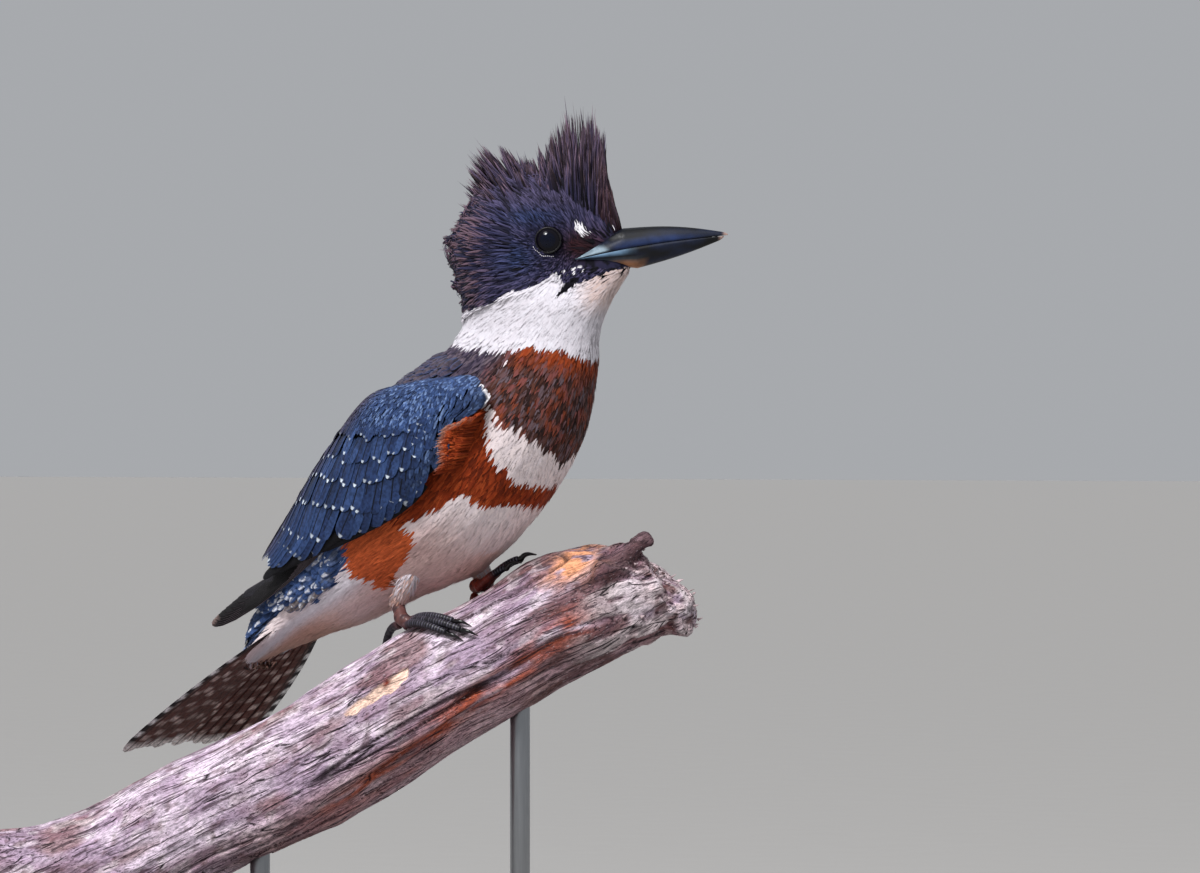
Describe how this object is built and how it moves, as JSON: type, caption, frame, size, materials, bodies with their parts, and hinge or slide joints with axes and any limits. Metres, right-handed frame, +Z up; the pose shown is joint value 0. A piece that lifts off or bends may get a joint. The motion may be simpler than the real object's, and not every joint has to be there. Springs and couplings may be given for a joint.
{
  "type": "perched belted kingfisher model",
  "caption": "Life-size still model of a young belted kingfisher, crest raised and wings folded, gripping a cut length of dead branch held by rods on a flat base.",
  "frame": {"origin": "middle of the display base's underside", "axes": "+Z up, +X the way the bird's body faces, +Y the bird's left; its head, the perch and the base are turned 34 degrees from +X towards +Y"},
  "size_m": [0.2677, 0.2064, 0.3546],
  "materials": {
    "body_feathers": "soft contour feathers: dark slate head, white collar and belly, rusty and grey-brown breast bands",
    "crest_feathers": "hair-like dark slate crest feathers with browner tips",
    "wing_feathers": "slate blue covert and secondary feathers with small white tips",
    "flight_feathers": "blackish brown primary feathers",
    "tail_feathers": "dark brown tail feathers with pale bars and white tips",
    "eye": "wet black eye",
    "bill_horn": "blue-black horn, blue-grey at its base",
    "leg_skin": "scaly maroon to blackish skin",
    "claw_horn": "black horn",
    "weathered_wood": "bare grey weathered wood with brown streaks",
    "stand_base_paint": "satin dark painted wood",
    "stand_rod_steel": "plain steel rod"
  },
  "bodies": {
    "root": {"belly": "body_feathers", "bill_lower": "bill_horn", "bill_upper": "bill_horn", "breast": "body_feathers", "claw_hind_left": "claw_horn", "claw_hind_right": "claw_horn", "claw_inner_left": "claw_horn", "claw_inner_right": "claw_horn", "claw_middle_left": "claw_horn", "claw_middle_right": "claw_horn", "claw_outer_left": "claw_horn", "claw_outer_right": "claw_horn", "crest": "crest_feathers", "eye_left": "eye", "eye_right": "eye", "head": "body_feathers", "neck": "body_feathers", "perch_branch": "weathered_wood", "primaries_left": "flight_feathers", "primaries_right": "flight_feathers", "rump": "body_feathers", "shin_left": "body_feathers", "shin_right": "body_feathers", "stand_base": "stand_base_paint", "stand_rod_front": "stand_rod_steel", "stand_rod_rear": "stand_rod_steel", "tail": "tail_feathers", "tarsus_left": "leg_skin", "tarsus_right": "leg_skin", "toe_hind_left": "leg_skin", "toe_hind_right": "leg_skin", "toe_inner_left": "leg_skin", "toe_inner_right": "leg_skin", "toe_middle_left": "leg_skin", "toe_middle_right": "leg_skin", "toe_outer_left": "leg_skin", "toe_outer_right": "leg_skin", "undertail_coverts": "body_feathers", "uppertail_coverts": "body_feathers", "wing_left": "wing_feathers", "wing_right": "wing_feathers"}
  },
  "joints": []
}
